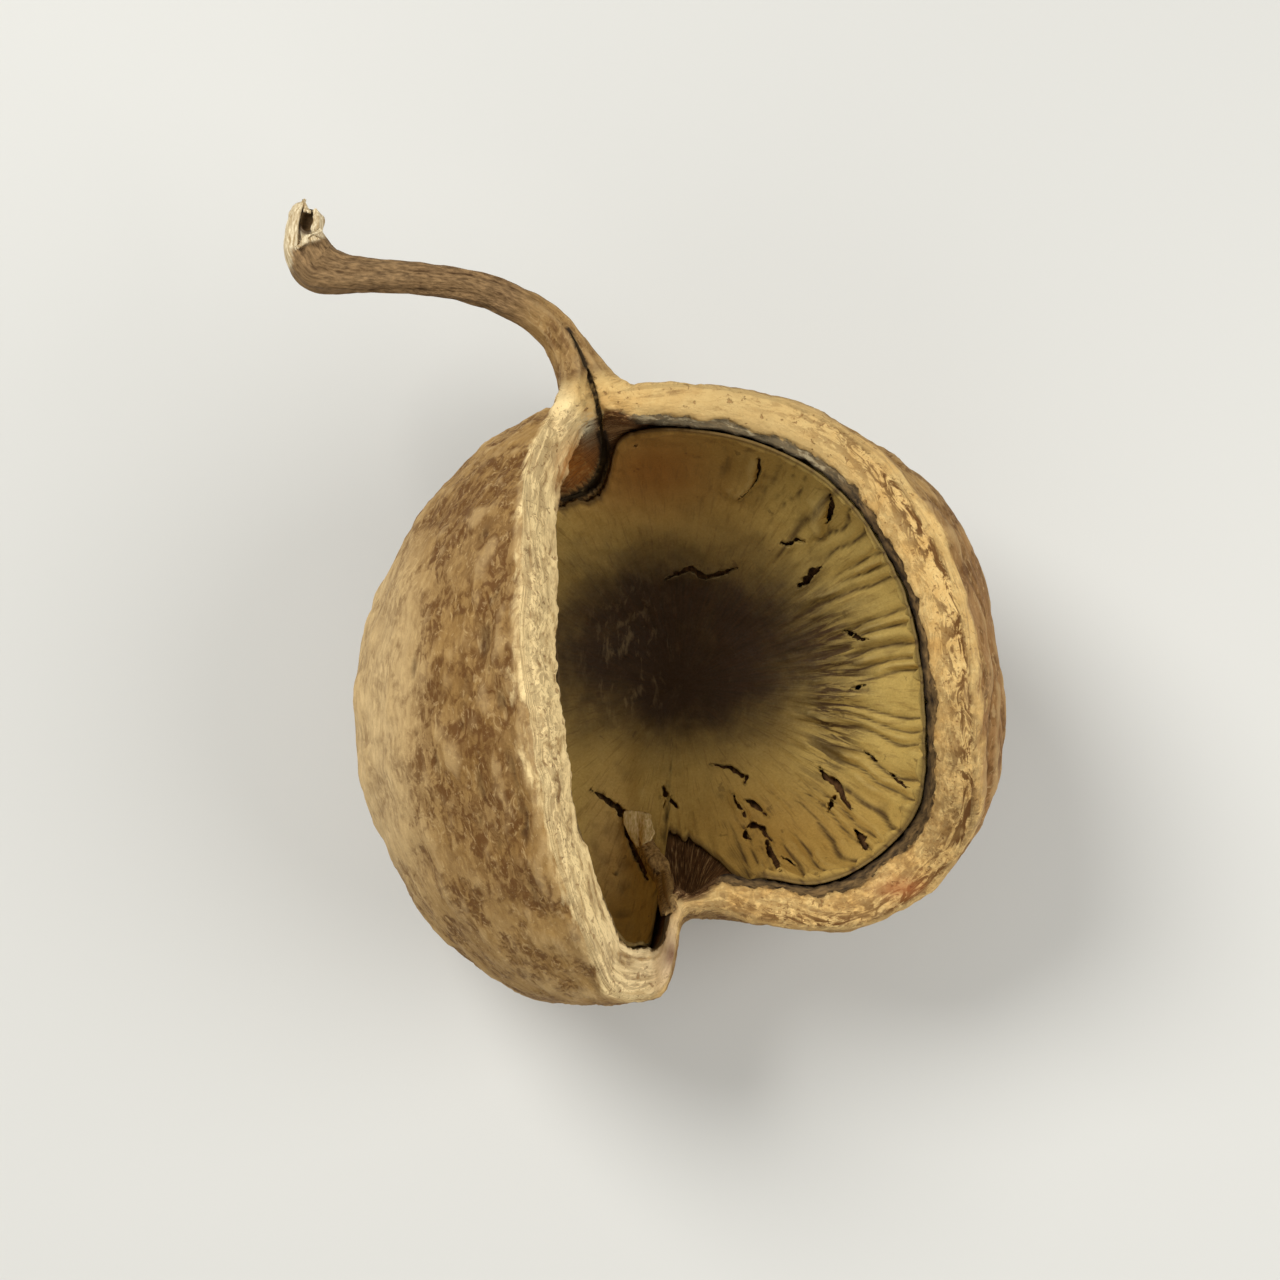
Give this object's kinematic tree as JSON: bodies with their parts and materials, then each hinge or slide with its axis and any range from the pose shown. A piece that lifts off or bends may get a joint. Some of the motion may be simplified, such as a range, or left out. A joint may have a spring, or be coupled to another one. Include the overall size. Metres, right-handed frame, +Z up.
{
  "type": "dried sterculia pod",
  "caption": "Dried woody seed pod split open along its seam into a deep bowl with thick corky lips, a loose papery lining and a curved stalk with a torn end.",
  "frame": {"origin": "centre of the bounding box on the surface that the pod rests on", "axes": "+Z up out of the mouth, +Y towards the stalk, +X towards the lip that stands lower"},
  "size_m": [0.1222, 0.1336, 0.0827],
  "materials": {
    "bark": "dry weathered bark, mottled tan and brown, with pale corky lips",
    "lining": "thin matt olive skin, cracked and stained dark brown in the depth"
  },
  "bodies": {
    "root": {"woody_shell": "bark", "papery_lining": "lining"}
  },
  "joints": []
}
